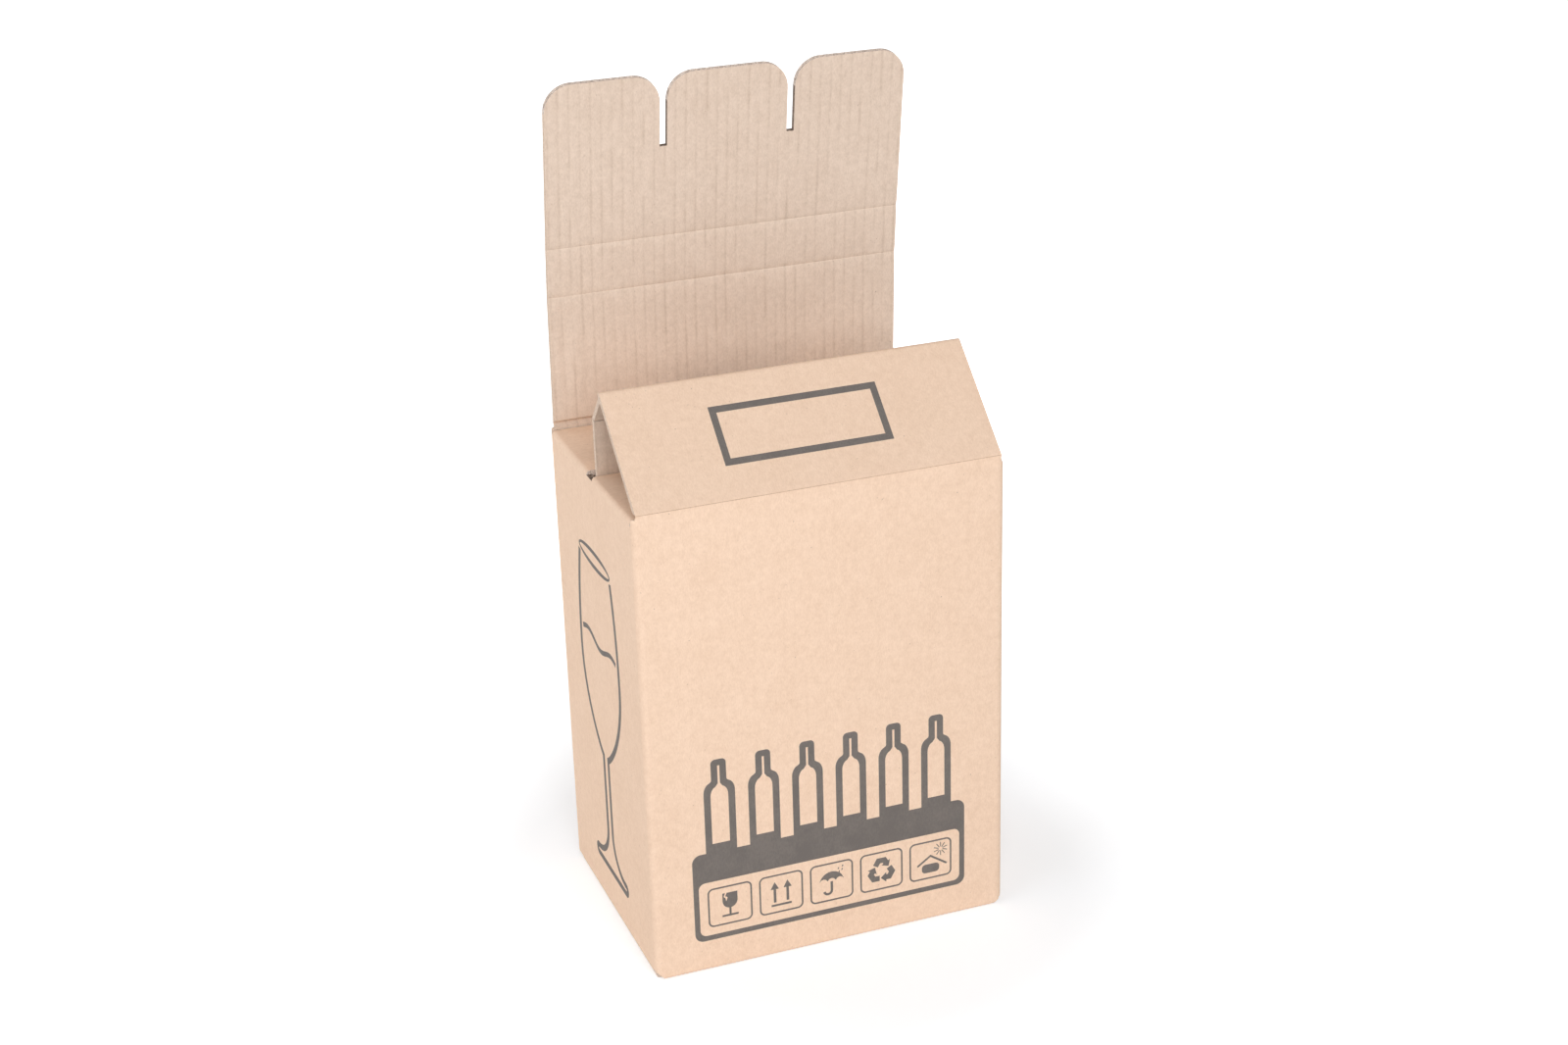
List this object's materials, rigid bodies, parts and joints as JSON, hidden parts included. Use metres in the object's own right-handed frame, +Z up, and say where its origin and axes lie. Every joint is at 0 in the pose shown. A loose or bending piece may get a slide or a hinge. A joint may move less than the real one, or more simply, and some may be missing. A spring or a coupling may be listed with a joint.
{
  "type": "bottle shipping box",
  "caption": "Upright corrugated board box for bottles, whose top flaps tuck in as dividers: the front flap is half closed, the lobed rear flap stands open.",
  "frame": {"origin": "middle of the bottom, on the surface that the box stands on", "axes": "+Z up, -Y towards the printed front wall, +X to the right as seen from the front"},
  "size_m": [0.25, 0.18, 0.5625],
  "materials": {
    "board": "matte"
  },
  "bodies": {
    "box": {"box_body": "board"},
    "back_flap": {"back_flap": "board"},
    "front_flap": {"front_flap": "board"},
    "front_leaf": {"front_leaf": "board"}
  },
  "joints": [
    {"name": "back_flap_fold", "type": "hinge", "parent": "box", "child": "back_flap", "pos_m": [0, 0.09, 0.33], "axis": [1, 0, 0], "range_deg": [-170, 50]},
    {"name": "front_flap_fold", "type": "hinge", "parent": "box", "child": "front_flap", "pos_m": [0, -0.09, 0.33], "axis": [1, 0, 0], "range_deg": [-41.9, 0]},
    {"name": "front_leaf_fold", "type": "hinge", "parent": "front_flap", "child": "front_leaf", "pos_m": [0, -0.0012, 0.364], "axis": [1, 0, 0], "range_deg": [0, 41.9]}
  ],
  "couplings": [
    {"joint": "front_leaf_fold", "follows": "front_flap_fold", "ratio": -1}
  ]
}
